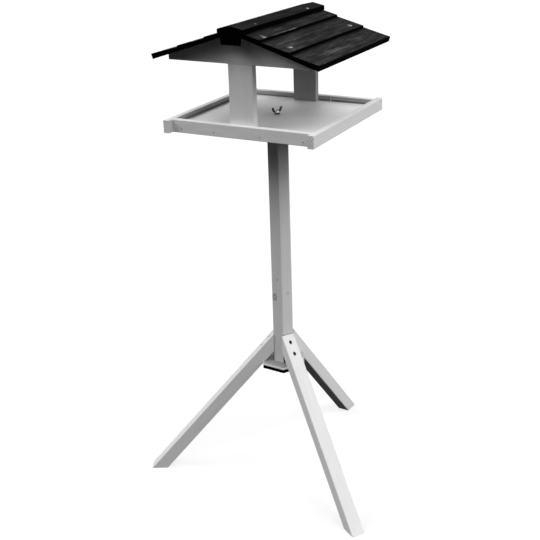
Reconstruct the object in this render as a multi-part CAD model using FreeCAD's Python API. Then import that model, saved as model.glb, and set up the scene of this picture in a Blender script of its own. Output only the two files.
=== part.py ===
import FreeCAD, Part
import math
import os

# Bird table: a six-sided post on three splayed legs, a framed tray that one wing nut
# clamps on top of the post, and a small house of two uprights, two gables and a roof
# of lapped boards under a ridge cap with a plate at each end.
# Millimetres, +Z up. The origin is on the ground below the axis of the post.
# The ridge runs along Y and the shown gable faces -Y.

V = FreeCAD.Vector
UP = V(0, 0, 1)

# Stand
stand_turn = -4.8           # the stand stands this many degrees off square to the tray
post_side = 34.0
post_edge_radius = 3.0
leg_depth = 38.0
leg_width = 41.0
leg_reach = 434.0           # post axis to the outer toe of a foot
leg_join_height = 474.0     # where the outer face of a leg meets the post
post_below_join = 91.0      # the post runs on down behind the joints to the base
leg_edge = 1.5
leg_names = ("leg_right", "leg_back", "leg_left")    # evenly round the post
first_leg_angle = 60.0      # 0 looks to -Y
base_side = 72.5
base_plate_thickness = 5.5
base_pad_thickness = 10.5
base_edge = 1.0

# Screws of the stand
leg_screw_upper_drop = 19.0     # below the top of the joint
leg_screw_lower_drop = 47.0
leg_screw_radius = 2.25
leg_screw_head_radius = 4.0
leg_screw_head_thickness = 3.0
leg_screw_recess_radius = 4.6
leg_screw_recess_depth = 11.0
leg_screw_tip = 8.0         # post axis to the tip of a screw
plate_screw_length = 42.0

# Tray
tray_width = 450.0
batten_height = 35.0
batten_thickness = 18.0
batten_overrun = 18.0       # the side battens run past the end battens
tray_depth = 436.0          # over the two end battens
tray_bottom = 1134.0
floor_thickness = 20.0
batten_edge = 1.2
outer_nail_inset_left = 27.0    # from the ends of a front or back batten
outer_nail_inset_right = 21.0
inner_nail_left = 80.0          # from the middle
inner_nail_right = 60.0
batten_nail_length = 45.0
nail_radius = 1.25
nail_head_radius = 2.4
nail_head_thickness = 1.0

# Clamp between tray and post
stud_radius = 3.0
stud_in_post = 60.0
stud_above_nut = 1.4
floor_hole_clearance = 0.5
washer_radius = 9.0
washer_thickness = 1.6
washer_clearance = 0.25
nut_bore_clearance = 0.05
nut_height = 8.0
nut_base_radius = 6.6
nut_neck_radius = 5.0
nut_edge = 0.6
wing_span = 36.0
wing_top = 18.5
wing_thickness = 2.6
wing_tip_radius = 3.4
wing_root_inset = 1.5
wing_foot_rise = 0.8
wing_hollow = 3.6           # how far the lower edge of a wing draws in from its tip
wing_lean = 65.0            # direction of the wings, degrees from +X

# House
upright_width = 73.0
upright_thickness = 20.0
upright_edge = 1.2
upright_length = 230.0
apex_height = 258.3         # floor of the tray to the underside of the boards, at the ridge
gable_width = 434.0
gable_thickness = 20.0
gable_drop = 84.3           # apex of the roof to the lower edge of a gable
gable_edge = 1.0
tongue_thickness = 10.0     # an upright is halved where it runs up behind the gable
wood_screw_radius = 2.0
wood_screw_head_radius = 3.8
wood_screw_head_depth = 2.6
gable_screw_spread = 20.0
gable_screw_length = 17.0
floor_screw_spread = 22.0
floor_screw_length = 50.0

# Roof
roof_pitch = 18.0
roof_length = 476.0
board_cover = 86.4          # shown width of a board along the slope
top_board_reach = 82.0      # lower edge of the top board, along the slope from the apex
board_butt = 14.5           # thickness at the lower edge
board_step = 4.4            # how far a lower edge stands above the board below
board_lap = 8.0
board_tongue = 5.0
board_edge = 0.8
board_names = ("top", "middle", "bottom")
ridge_gap = 1.0
top_nail_reach = 70.0       # nails of each board, from the middle along X
middle_nail_reach = 141.0
bottom_nail_reach = 188.0
roof_nail_length = 30.0
cap_width = 75.2
cap_length = 490.0
cap_edge_height = 12.0
cap_crown = 8.4             # rise of the cap's top from its edges to its crest
cap_edge = 1.2
cap_screw_line = 26.0
cap_screw_places = (-156.0, 156.0)
cap_screw_length = 21.0
end_plate_top_width = 59.2  # where the plate passes the underside of the boards
end_plate_foot_width = 55.6
end_plate_drop = 27.3       # apex of the roof to the foot of the plate
end_plate_edge = 0.6

match_tolerance = 0.01      # two places this close are the same place

# Derived sizes
leg_angles = {name: first_leg_angle + number * 360 / len(leg_names)
              for number, name in enumerate(leg_names)}
post_apothem = post_side * math.cos(math.radians(30))
post_bottom = leg_join_height - post_below_join
leg_screw_heights = (leg_join_height - leg_screw_upper_drop,
                     leg_join_height - leg_screw_lower_drop)
leg_slope = math.atan2(leg_join_height, leg_reach - post_apothem)
leg_run = 1 / math.tan(leg_slope)
base_bottom = post_bottom - base_plate_thickness - base_pad_thickness
floor_top = tray_bottom + floor_thickness
floor_hole_radius = stud_radius + floor_hole_clearance
batten_top = tray_bottom + batten_height
inner_width = tray_width - 2 * batten_thickness
inner_depth = tray_depth - 2 * batten_thickness
batten_nail_places = (outer_nail_inset_left - inner_width / 2, -inner_nail_left,
                      inner_nail_right, inner_width / 2 - outer_nail_inset_right)
nut_bottom = floor_top + washer_thickness
nut_bore_radius = stud_radius + nut_bore_clearance
stud_top = nut_bottom + nut_height + stud_above_nut
upright_top = floor_top + upright_length
roof_apex = floor_top + apex_height     # underside of the boards, carried to the middle
gable_bottom = roof_apex - gable_drop
gable_screw_height = (gable_bottom + upright_top) / 2
pitch = math.radians(roof_pitch)
board_taper = board_step / board_cover
board_edge_lines = [top_board_reach + number * board_cover
                    for number in range(len(board_names))]
crest_slope = math.tan(pitch - math.atan(board_taper))
roof_nail_lines = (top_nail_reach, middle_nail_reach, bottom_nail_reach)


def face_of(points):
    return Part.Face(Part.makePolygon(points + [points[0]]))


def prism_along_y(outline, start, length):
    """A closed outline in X and Z, extruded along Y."""
    face = face_of([V(x, start, z) for x, z in outline])
    return face.extrude(V(0, length, 0))


def block(centre_x, centre_y, bottom, width, depth, height):
    corner = V(centre_x - width / 2, centre_y - depth / 2, bottom)
    return Part.makeBox(width, depth, height, corner)


def six_sided(side, bottom, height):
    """A six-sided prism with one flat facing -Y."""
    corners = []
    for step in range(6):
        angle = math.radians(60 * step)
        corners.append(V(side * math.cos(angle), side * math.sin(angle), bottom))
    return face_of(corners).extrude(V(0, 0, height))


def edges_along(shape, direction, least=0.0):
    """Straight edges of a shape that run along one direction and are long enough."""
    found = []
    for edge in shape.Edges:
        if edge.Length < least or len(edge.Vertexes) < 2:
            continue
        run = edge.Vertexes[1].Point - edge.Vertexes[0].Point
        if run.getAngle(direction) < 0.01 or run.getAngle(direction * -1) < 0.01:
            found.append(edge)
    return found


def eased(shape, direction, size):
    """The same shape with its edges along one direction planed off."""
    return shape.makeChamfer(size, edges_along(shape, direction))


def turned(shape, angle):
    """A copy turned about the axis of the post; 0 looks to -Y."""
    copy = shape.copy()
    copy.rotate(V(0, 0, 0), UP, angle)
    return copy


def eight_sided(radius, centre, direction):
    """The closed outline of a small round bar, drawn with eight flats."""
    across = direction.cross(V(1, 0, 0) if abs(direction.x) < 0.9 else UP).normalize()
    other = direction.cross(across)
    corners = []
    for step in range(8):
        angle = math.radians(22.5 + 45 * step)
        corners.append(centre + across * (radius * math.cos(angle))
                       + other * (radius * math.sin(angle)))
    return Part.makePolygon(corners + [corners[0]])


def bar(start, direction, length, radius):
    return Part.Face(eight_sided(radius, start, direction)).extrude(direction * length)


def fastener(start, direction, length, radius, head_radius, head_thickness):
    """A shank with a flat head whose top lies at the start point."""
    head = bar(start, direction, head_thickness, head_radius)
    return head.fuse(bar(start, direction, length, radius)).removeSplitter()


def countersunk(start, direction, length, radius, head_radius, head_depth):
    """A screw with a tapering head that lies flush at the start point."""
    head = Part.makeLoft([eight_sided(head_radius, start, direction),
                          eight_sided(radius, start + direction * head_depth, direction)],
                         True, True)
    return head.fuse(bar(start, direction, length, radius)).removeSplitter()


def cut_by(shape, tools):
    for tool in tools:
        shape = shape.cut(tool)
    return shape


def leg_screw(height):
    """A horizontal screw, in a leg that points to -Y, sunk below its outer face."""
    face = post_apothem + (leg_join_height - height) * leg_run
    start = V(0, -(face - leg_screw_recess_depth), height)
    length = face - leg_screw_recess_depth - leg_screw_tip
    return fastener(start, V(0, 1, 0), length, leg_screw_radius,
                    leg_screw_head_radius, leg_screw_head_thickness)


def leg_screw_recess(height):
    face = post_apothem + (leg_join_height - height) * leg_run
    seat = V(0, -(face - leg_screw_recess_depth - leg_screw_head_thickness), height)
    return Part.makeCylinder(leg_screw_recess_radius, leg_depth, seat, V(0, -1, 0))


def make_leg():
    """A batten that points to -Y: cut level at the foot and upright against the post."""
    toe_length = leg_depth / math.sin(leg_slope)
    joint_length = leg_depth / math.cos(leg_slope)
    outline = [(leg_reach, 0.0),
               (leg_reach - toe_length, 0.0),
               (post_apothem, leg_join_height - joint_length),
               (post_apothem, leg_join_height)]
    face = face_of([V(-leg_width / 2, -reach, z) for reach, z in outline])
    leg = face.extrude(V(leg_width, 0, 0))
    slope = V(0, -math.cos(leg_slope), -math.sin(leg_slope))
    leg = eased(leg, slope, leg_edge)
    for height in leg_screw_heights:
        leg = leg.cut(leg_screw_recess(height))
        leg = leg.cut(leg_screw(height))
    return leg


def make_post(screws, stud, plate_screw):
    post = six_sided(post_side, post_bottom, tray_bottom - post_bottom)
    post = post.makeFillet(post_edge_radius, edges_along(post, UP))
    return cut_by(post, screws + [stud, plate_screw])


def make_stand():
    """Every piece that stays with the ground."""
    leg = make_leg()
    legs = {name: turned(leg, angle) for name, angle in leg_angles.items()}
    screws = []
    for angle in leg_angles.values():
        for height in leg_screw_heights:
            screws.append(turned(leg_screw(height), angle))
    stud = Part.makeCylinder(stud_radius, stud_in_post + stud_top - tray_bottom,
                             V(0, 0, tray_bottom - stud_in_post), UP)
    plate_screw = countersunk(V(0, 0, base_bottom), UP, plate_screw_length,
                              leg_screw_radius, leg_screw_head_radius,
                              wood_screw_head_depth)
    plate_bottom = base_bottom + base_pad_thickness
    plate = six_sided(base_side, plate_bottom, base_plate_thickness)
    rim = [edge for edge in plate.Edges
           if all(vertex.Z > post_bottom - match_tolerance for vertex in edge.Vertexes)]
    plate = plate.makeChamfer(base_edge, rim)
    pad = six_sided(base_side, base_bottom, base_pad_thickness)
    pieces = {"post": make_post(screws, stud, plate_screw),
              "base_plate": cut_by(plate, list(legs.values()) + [plate_screw]),
              "base_pad": cut_by(pad, list(legs.values()) + [plate_screw]),
              "leg_screws": Part.makeCompound(screws),
              "base_screw": plate_screw,
              "stud": stud}
    pieces.update(legs)
    return {name: turned(shape, stand_turn) for name, shape in pieces.items()}


def make_washer():
    ring = Part.makeCylinder(washer_radius, washer_thickness, V(0, 0, floor_top), UP)
    hole = Part.makeCylinder(stud_radius + washer_clearance, washer_thickness,
                             V(0, 0, floor_top), UP)
    return ring.cut(hole)


def make_wing():
    """One wing of the nut, rising to +X, from a flat outline with round ends."""
    half = wing_span / 2
    root = nut_neck_radius - wing_root_inset
    tip = V(half - wing_tip_radius, 0, wing_top - wing_tip_radius)
    lower = V(root, 0, wing_foot_rise)
    outer = tip + V(wing_tip_radius, 0, 0)
    crown = tip + V(0, 0, wing_tip_radius)
    inner = tip - V(wing_tip_radius, 0, 0)
    saddle = V(root, 0, nut_height - nut_edge)
    bend = wing_tip_radius * math.sqrt(0.5)
    belly = V(half - wing_hollow, 0, nut_height - wing_foot_rise)
    dip = V(nut_base_radius, 0, nut_height + wing_foot_rise)
    edges = [Part.Arc(lower, belly, outer).toShape(),
             Part.Arc(outer, tip + V(bend, 0, bend), crown).toShape(),
             Part.Arc(crown, tip + V(-bend, 0, bend), inner).toShape(),
             Part.Arc(inner, dip, saddle).toShape(),
             Part.makeLine(saddle, lower)]
    wing = Part.Face(Part.Wire(edges)).extrude(V(0, wing_thickness, 0))
    wing.translate(V(0, -wing_thickness / 2, 0))
    return wing


def make_wing_nut():
    """A tapering hub turned about the stud, with two wings grown out of it."""
    profile = [V(0, 0, 0),
               V(nut_base_radius - nut_edge, 0, 0),
               V(nut_base_radius, 0, nut_edge),
               V(nut_neck_radius, 0, nut_height - nut_edge),
               V(nut_neck_radius - nut_edge, 0, nut_height),
               V(0, 0, nut_height)]
    nut = face_of(profile).revolve(V(0, 0, 0), UP, 360)
    wing = make_wing()
    nut = nut.fuse(wing).fuse(turned(wing, 180)).removeSplitter()
    bore = Part.makeCylinder(nut_bore_radius, nut_height, V(0, 0, 0), UP)
    nut = turned(nut.cut(bore), wing_lean)
    nut.translate(V(0, 0, nut_bottom))
    return nut


def end_batten_nails():
    """Nails through the front and back battens into the edges of the floor."""
    nails = []
    height = tray_bottom + floor_thickness / 2
    for side in (-1, 1):
        for place in batten_nail_places:
            start = V(place, side * tray_depth / 2, height)
            nails.append(fastener(start, V(0, -side, 0), batten_nail_length, nail_radius,
                                  nail_head_radius, nail_head_thickness))
    return nails


def floor_screws():
    """Screws from under the floor into the feet of the uprights."""
    screws = []
    line = inner_depth / 2 - upright_thickness / 2
    for y in (-line, line):
        for x in (-floor_screw_spread, floor_screw_spread):
            screws.append(countersunk(V(x, y, tray_bottom), UP, floor_screw_length,
                                      wood_screw_radius, wood_screw_head_radius,
                                      wood_screw_head_depth))
    return screws


def gable_screws():
    """Screws from inside the house, through the tongues of the uprights into the gables."""
    screws = []
    for side in (-1, 1):
        for x in (-gable_screw_spread, gable_screw_spread):
            start = V(x, side * (inner_depth / 2 - upright_thickness), gable_screw_height)
            screws.append(countersunk(start, V(0, side, 0), gable_screw_length,
                                      wood_screw_radius, wood_screw_head_radius,
                                      wood_screw_head_depth))
    return screws


def make_tray(nails, screws):
    floor = block(0, 0, tray_bottom, inner_width, inner_depth, floor_thickness)
    hole = Part.makeCylinder(floor_hole_radius, floor_thickness, V(0, 0, tray_bottom), UP)
    pieces = {"tray_floor": cut_by(floor.cut(hole), nails + screws)}
    side_length = tray_depth + 2 * batten_overrun
    side_line = tray_width / 2 - batten_thickness / 2
    end_line = tray_depth / 2 - batten_thickness / 2
    for name, x in (("batten_left", -side_line), ("batten_right", side_line)):
        batten = block(x, 0, tray_bottom, batten_thickness, side_length, batten_height)
        pieces[name] = eased(batten, V(0, 1, 0), batten_edge)
    for name, y in (("batten_front", -end_line), ("batten_back", end_line)):
        batten = block(0, y, tray_bottom, inner_width, batten_thickness, batten_height)
        pieces[name] = cut_by(eased(batten, V(1, 0, 0), batten_edge), nails)
    return pieces


def underside(x):
    """Height of the underside of the roof boards, a distance from the middle."""
    return roof_apex - abs(x) * math.tan(pitch)


def make_upright(side):
    """A board on the floor, flush with the gable, with its top halved to a tongue."""
    line = side * (inner_depth / 2 - upright_thickness / 2)
    board = block(0, line, floor_top, upright_width, upright_thickness, upright_length)
    cheek_thickness = upright_thickness - tongue_thickness
    cheek = block(0, side * (inner_depth / 2 - cheek_thickness / 2), gable_bottom,
                  upright_width, cheek_thickness, upright_top - gable_bottom)
    return eased(board, UP, upright_edge).cut(cheek)


def make_gable(side):
    """A low board with sloping top edges and a housing for the tongue of the upright."""
    half = gable_width / 2
    outline = [(-half, gable_bottom), (half, gable_bottom), (half, underside(half)),
               (0.0, roof_apex), (-half, underside(half))]
    start = side * (inner_depth / 2 - gable_thickness / 2) - gable_thickness / 2
    gable = prism_along_y(outline, start, gable_thickness)
    lower = edges_along(gable, V(1, 0, 0), gable_width - gable_edge)
    inner_face = inner_depth / 2 - upright_thickness
    tongue = block(0, side * (inner_face + tongue_thickness / 2), gable_bottom,
                   upright_width, tongue_thickness, upright_top - gable_bottom)
    return gable.makeChamfer(gable_edge, lower).cut(tongue)


def make_house(roof_nails):
    into_gables = gable_screws()
    into_feet = floor_screws()
    nails = end_batten_nails()
    pieces = make_tray(nails, into_feet)
    for name, side in (("front", -1), ("back", 1)):
        pieces["upright_" + name] = cut_by(make_upright(side), into_gables + into_feet)
        pieces["gable_" + name] = cut_by(make_gable(side), roof_nails + into_gables)
    pieces["batten_nails"] = Part.makeCompound(nails)
    pieces["gable_screws"] = Part.makeCompound(into_gables)
    pieces["floor_screws"] = Part.makeCompound(into_feet)
    return pieces


def on_slope(along, off, side):
    """A point of the roof: along the slope from the apex, and off its underside."""
    x = along * math.cos(pitch) + off * math.sin(pitch)
    z = roof_apex - along * math.sin(pitch) + off * math.cos(pitch)
    return side * x, z


def board_thickness(along, lower_edge):
    return board_butt - (lower_edge - along) * board_taper


def board_outline(number):
    """A tapered board: a tongue under the board above, a rebate over the one below."""
    lower = board_edge_lines[number]
    upper = lower - board_cover
    top = board_thickness(upper, lower)
    first = number == 0
    last = number == len(board_edge_lines) - 1
    if last:
        points = [(lower, 0.0), (lower, board_butt)]
    else:
        points = [(lower - board_lap, 0.0), (lower - board_lap, board_tongue),
                  (lower, board_tongue), (lower, board_butt)]
    if first:
        low = ridge_gap / 2 / math.cos(pitch)
        at_apex = board_thickness(0.0, lower)
        high = (ridge_gap / 2 - at_apex * math.sin(pitch)) / (
            math.cos(pitch) + board_taper * math.sin(pitch))
        points += [(high, board_thickness(high, lower)), (low, 0.0)]
    else:
        points += [(upper, top), (upper, board_tongue),
                   (upper - board_lap, board_tongue), (upper - board_lap, 0.0)]
    return points


def make_roof_board(number, side, nails, screws):
    outline = [on_slope(along, off, side) for along, off in board_outline(number)]
    board = prism_along_y(outline, -roof_length / 2, roof_length)
    x, z = on_slope(board_edge_lines[number], board_butt, side)
    butt = [edge for edge in edges_along(board, V(0, 1, 0))
            if math.dist((edge.Vertexes[0].X, edge.Vertexes[0].Z), (x, z)) < match_tolerance]
    return cut_by(board.makeChamfer(board_edge, butt), nails + screws)


def roof_nails():
    """Nails square to the slope, through each board into the middle of the gable below."""
    nails = []
    line = inner_depth / 2 - gable_thickness / 2
    for number, reach in enumerate(roof_nail_lines):
        lower = board_edge_lines[number]
        along = reach / math.cos(pitch)
        top = board_thickness(along, lower)
        for side in (-1, 1):
            x, z = on_slope(along, top, side)
            inward = V(-side * math.sin(pitch), 0, -math.cos(pitch))
            for y in (-line, line):
                nails.append(fastener(V(x, y, z), inward, roof_nail_length, nail_radius,
                                      nail_head_radius, nail_head_thickness))
    return nails


def cap_edge_bottom():
    """Height where the edge of the cap meets the top face of the upper boards."""
    half = cap_width / 2
    x, z = on_slope(board_edge_lines[0], board_butt, 1)
    return z + (x - half) * crest_slope


def make_ridge_cap(screws):
    """A low moulding with a hollow underside that fits the two upper boards."""
    half = cap_width / 2
    bottom = cap_edge_bottom()
    top = bottom + cap_edge_height
    outline = [(-half, bottom), (0.0, bottom + half * crest_slope), (half, bottom),
               (half, top), (0.0, top + cap_crown), (-half, top)]
    cap = prism_along_y(outline, -cap_length / 2, cap_length)
    corners = [edge for edge in edges_along(cap, V(0, 1, 0))
               if abs(abs(edge.Vertexes[0].X) - half) < match_tolerance
               and abs(edge.Vertexes[0].Z - top) < match_tolerance]
    return cut_by(cap.makeChamfer(cap_edge, corners), screws)


def make_end_plate(side):
    """A block on the ends of the upper boards that fills the space under the cap's end."""
    foot = roof_apex - end_plate_drop
    cap_foot = cap_edge_bottom() + cap_width / 2 * crest_slope
    lean = (end_plate_top_width - end_plate_foot_width) / 2 / end_plate_drop
    low = end_plate_foot_width / 2
    rise = (cap_foot - foot - low * crest_slope) / (1 + lean * crest_slope)
    high = low + rise * lean
    outline = [(-low, foot), (low, foot), (high, foot + rise), (0.0, cap_foot),
               (-high, foot + rise)]
    thickness = (cap_length - roof_length) / 2
    start = side * (roof_length + thickness) / 2 - thickness / 2
    plate = prism_along_y(outline, start, thickness)
    lower = [edge for edge in edges_along(plate, V(1, 0, 0))
             if abs(edge.Vertexes[0].Z - foot) < match_tolerance]
    return plate.makeChamfer(end_plate_edge, lower)


def cap_screws():
    screws = []
    half = cap_width / 2
    lean = math.atan2(cap_crown, half)
    top = cap_edge_bottom() + cap_edge_height
    for side in (-1, 1):
        z = top + (half - cap_screw_line) * math.tan(lean)
        inward = V(-side * math.sin(lean), 0, -math.cos(lean))
        for y in cap_screw_places:
            screws.append(countersunk(V(side * cap_screw_line, y, z), inward,
                                      cap_screw_length, wood_screw_radius,
                                      wood_screw_head_radius, wood_screw_head_depth))
    return screws


def make_roof(nails, screws):
    pieces = {"ridge_cap": make_ridge_cap(screws),
              "cap_screws": Part.makeCompound(screws),
              "end_plate_front": make_end_plate(-1),
              "end_plate_back": make_end_plate(1),
              "roof_nails": Part.makeCompound(nails)}
    for number, name in enumerate(board_names):
        for side_name, side in (("left", -1), ("right", 1)):
            board = make_roof_board(number, side, nails, screws)
            pieces["roof_board_" + side_name + "_" + name] = board
    return pieces


def main():
    nails = roof_nails()
    screws = cap_screws()
    pieces = make_stand()
    pieces["washer"] = make_washer()
    pieces["wing_nut"] = make_wing_nut()
    pieces.update(make_house(nails))
    pieces.update(make_roof(nails, screws))
    os.makedirs("parts", exist_ok=True)
    for name, shape in pieces.items():
        shape.exportStep("parts/" + name + ".step")
        print(name, len(shape.Solids), "solids", round(shape.Volume), "mm3",
              "valid" if shape.isValid() else "NOT VALID")


main()
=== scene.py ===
import math
import random

import bpy
import numpy as np
from mathutils import Matrix, Vector


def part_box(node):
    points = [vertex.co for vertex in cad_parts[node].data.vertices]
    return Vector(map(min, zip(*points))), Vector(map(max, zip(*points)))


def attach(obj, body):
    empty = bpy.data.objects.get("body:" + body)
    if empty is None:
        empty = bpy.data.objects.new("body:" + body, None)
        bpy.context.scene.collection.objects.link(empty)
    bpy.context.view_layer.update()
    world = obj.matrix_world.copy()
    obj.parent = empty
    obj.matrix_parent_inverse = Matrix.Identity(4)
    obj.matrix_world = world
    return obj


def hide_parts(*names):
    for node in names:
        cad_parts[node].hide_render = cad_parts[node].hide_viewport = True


# Bird table of painted and stained softwood. Metres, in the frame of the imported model:
# +Z up, the ridge along Y, the shown gable facing -Y.
# Grain, wear and knots are worked out in millimetres in each board's own directions.

# Camera, fitted to the photograph
camera_place = Vector((1.26292, -2.41558, 1.80672))
camera_yaw = 25.5942
camera_pitch = -21.252
camera_roll = -0.9074
camera_focal_pixels = 984.017
camera_middle = (313.061, 247.673)
picture_pixels = 540
sensor_width = 36.0

# Light: an even sky and far soft lamps, each with its compass angle from +X, its height
# angle, its width as seen from the object, all in degrees, and its strength
sky_strength = 0.02
soft_lamps = {"high_right_lamp": (340, 50, 40, 1.80),
              "low_right_lamp": (20, 30, 40, 1.22),
              "left_lamp": (210, 42, 40, 1.70),
              "front_lamp": (250, 42, 40, 0.30),
              "back_lamp": (130, 32, 40, 0.70)}
floor_glow = 0.74
floor_tone = 0.26
floor_bounce = 0.02
floor_reach = 30.0

# Paint and stain on the timber
paint_tone = 0.82
paint_shading = 0.33        # how much the figure of the wood darkens the paint
paint_gloss = 0.10
end_tone = 0.42             # dark rings of the end grain under the paint
underside_shade_tone = 0.62           # painted shade on the undersides of the legs
shade_and_joint_tone = 0.06            # painted shade and shadow, and the dark of joint lines
stain_tone = 0.0012
stain_weathered = 0.066
# worn stain, and painted highlights on lower arrises
stain_wear_and_highlight = 0.30
stain_gloss = 0.001
paint_roughness = (0.46, 0.16)      # between the fibres, and what they add
stain_roughness = (0.5, 0.2)
painted_top_facing = (0.7, 0.9)     # how squarely a top looks the board's best way
stained_top_facing = (0.75, 0.95)
underside_facing = (-0.85, -0.95)
roof_weather = 0.30         # how much of the stain's figure shows as grey
cap_weather = 0.15
knot_in_paint = 1.5         # how much darker the paint is over a knot
knot_in_stain = 0.12        # how much less the stain is worn on a knot

# The pattern of the wood, in millimetres. Its scales run across and along the grain, and
# its weights say how much each part of it darkens a finish or raises its surface
ring_spacing = 6.4
ring_darkens = (0.3, 0.86)  # the share of a ring over which its late wood comes in
ring_ends = (0.9, 1.0)      # and over which it goes out
ring_wander = 30.0
streak_wander = 26.0
board_shift = 517.0         # each board takes its own stretch of the pattern
knot_slimness = 0.6         # a knot is longer along the grain than across it
knot_hold = 0.45            # how fast the rings come back to their line beside it
knot_push = 2.4             # how far it pushes them aside, in its radii
knot_edge = (1.3, 0.75)     # where it fades out and in, in its radii
knot_rim = (0.2, 0.85)      # where it darkens from its middle to its rim, in its radii
knot_heart = 0.4            # strength of its middle against its rim
end_facing = (0.88, 0.97)   # how squarely a face of end grain looks along the board
grain_scales = {"wobble": (0.012, 0.0024), "fibre": (1.1, 0.02), "drift": (0.016, 0.011),
                "fine": (0.26, 0.022), "streak": (0.085, 0.0095), "cloud": (0.02, 0.008)}
paint_figure = {"late": 0.10, "fibre": 0.26, "streak": 0.36, "cloud": 0.30}
paint_figure_level = 0.46
paint_relief = {"late": 0.045, "fibre": 0.05, "streak": 0.12, "knot": 0.05}
end_figure = {"late": 0.75, "fibre": 0.4}
end_figure_level = 0.20
stain_figure = {"streak": 1.5, "fine": 0.9, "cloud": 0.7, "early": 0.12, "fibre": 0.35}
stain_figure_level = 0.79
stain_relief = {"late": 0.14, "fibre": 0.16, "streak": 0.2}

# The slope of the roof and the turn of the stand
roof_pitch = math.radians(18.0)
roof_apex = 1.4123          # in metres
stand_turn = math.radians(-4.8)

# Places that the finish follows, in millimetres
post_apothem = 29.4
leg_join_height = 474.0
leg_reach = 434.0
leg_slope = math.atan2(leg_join_height, leg_reach - post_apothem)
joint_line_fade = (-8.0, -16.0)     # the joint's line is darker on this side of the leg
half_batten = 9.0
floor_top = 1154.0
tray_half = 218.0
leg_screw_heights = (455.0, 427.0)
leg_screw_recess_radius = 4.6
washer_rim = 9.0

# Metal: its patterns are finer, and their scales are for metres
brushing_scale = 2600.0
brushing_roughness = 0.18
brushing_relief = 0.015     # in millimetres
patch_scale = 420.0
patch_edge = (0.45, 0.68)
patch_darkness = 0.45
patch_roughness = 0.3

# Fasteners, in metres
head_sides = 24
cross_taper = 0.7           # width of a recess's cross at its bottom, as a share of its top
nail_head_radius = 0.0024
nail_head_rise = 0.0005
nail_head_thickness = 0.001
nail_shank_radius = 0.00125
nail_point_length = 0.004
nail_point_radius = 0.0002
bare_nail_reach = (0.1, 0.17)       # how far from the apex the bare nails are
punched_nail_radius = 0.0016
punched_nail_depth = 0.0008
punched_head_thickness = 0.0012
screw_point_length = 0.005
screw_point_radius = 0.0003
sunk_screw_radius = 0.0038
sunk_screw_head_depth = 0.0026
sunk_screw_shank_radius = 0.002
sunk_screw_cross_depth = 0.0016
leg_screw_radius = 0.004
leg_screw_head_depth = 0.003
leg_screw_shank_radius = 0.00225
leg_screw_cross_depth = 0.0018

# The clamp on top of the tray, in metres
thread_pitch = 0.001
thread_depth = 0.00055
thread_rows = 5             # rows of points for each turn of the thread
thread_sides = 20
thread_sharp_angle = 60.0
stud_radius = 0.003
stud_chamfer = 0.0008
washer_clearance = 0.00025
washer_softness = 0.0003
washer_sides = 48
nut_height = 0.008
nut_base_radius = 0.0066
nut_neck_radius = 0.005
nut_bore_radius = 0.00305
hub_softness = 0.0006
hub_sides = 40
hub_band_radius = 0.0062
hub_band_height = 1.1587    # above this the hub has a painted highlight
hub_band_blur = (0.0005, 0.0008)    # of the band's side and of its lower edge
wing_span = 0.036
wing_top = 0.0185
wing_lean = math.radians(65.0)
wing_tip_radius = 0.0034
wing_root_depth = 0.0012    # how far a wing runs into the neck of the hub
wing_foot = 0.0008
wing_belly_inset = 0.0036
wing_belly_drop = 0.0008
wing_dip_rise = 0.0008
wing_saddle_drop = 0.0006
wing_thickness = 0.0030
wing_thinning = 0.0010      # how much thinner its tip is
long_arc_steps = 8
tip_arc_steps = 5
nut_voxel = 0.00024
nut_easing = 0.5
nut_easing_rounds = 5


# Nodes of the materials

class Steps:
    """The node tree of a material or of the sky, with a short call for each step."""

    def __init__(self, owner, shader="Principled BSDF"):
        owner.use_nodes = True
        self.owner = owner
        self.tree = owner.node_tree
        self.shader = self.tree.nodes[shader]

    def add(self, kind, inputs=None, **settings):
        node = self.tree.nodes.new("ShaderNode" + kind)
        for name, value in settings.items():
            setattr(node, name, value)
        self.fill(node, inputs or {})
        return node

    def fill(self, node, inputs):
        for key, value in inputs.items():
            if isinstance(value, bpy.types.NodeSocket):
                self.tree.links.new(value, node.inputs[key])
            else:
                node.inputs[key].default_value = value

    def math(self, operation, first, second=0.0, third=0.0, clamp=False):
        node = self.add("Math", {0: first, 1: second, 2: third}, operation=operation,
                        use_clamp=clamp)
        return node.outputs[0]

    def total(self, *terms):
        result = terms[0]
        for term in terms[1:]:
            result = self.math("ADD", result, term)
        return result

    def times(self, *factors):
        result = factors[0]
        for factor in factors[1:]:
            result = self.math("MULTIPLY", result, factor)
        return result

    def rise(self, value, start, end):
        """0 before start, 1 after end and a smooth step between them."""
        node = self.add("MapRange", {"Value": value, "From Min": start, "From Max": end},
                        interpolation_type="SMOOTHSTEP")
        return node.outputs[0]

    def noise(self, vector, scale, detail, roughness=0.5):
        return self.add("TexNoise", {"Vector": vector, "Scale": scale, "Detail": detail,
                                     "Roughness": roughness}).outputs

    def blend(self, factor, first, second):
        node = self.add("Mix", {"Factor": factor}, data_type="RGBA")
        places = {socket.identifier: place for place, socket in enumerate(node.inputs)}
        self.fill(node, {places["A_Color"]: first, places["B_Color"]: second})
        return next(s for s in node.outputs if s.identifier == "Result_Color")

    def combine(self, x, y, z):
        return self.add("CombineXYZ", {0: x, 1: y, 2: z}).outputs[0]

    def length(self, vector):
        return self.add("VectorMath", {0: vector}, operation="LENGTH").outputs["Value"]

    def dot(self, first, second):
        node = self.add("VectorMath", {0: first, 1: second}, operation="DOT_PRODUCT")
        return node.outputs["Value"]

    def bump(self, height):
        """A height in millimetres, laid on the shader's surface."""
        node = self.add("Bump", {"Height": height, "Distance": 0.001, "Strength": 1.0})
        self.fill(self.shader, {"Normal": node.outputs[0]})


def grey(tone):
    return (tone, tone, tone, 1.0)


class Board:
    """Where a board's grain runs, which way its best face looks and what is special."""

    def __init__(self, along, out, origin, knots=(), seed=0, **special):
        self.along = Vector(along).normalized()
        self.out = Vector(out).normalized()
        self.across = self.out.cross(self.along).normalized()
        self.origin = Vector(origin)
        self.knots = knots
        self.seed = seed
        self.special = special


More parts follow.
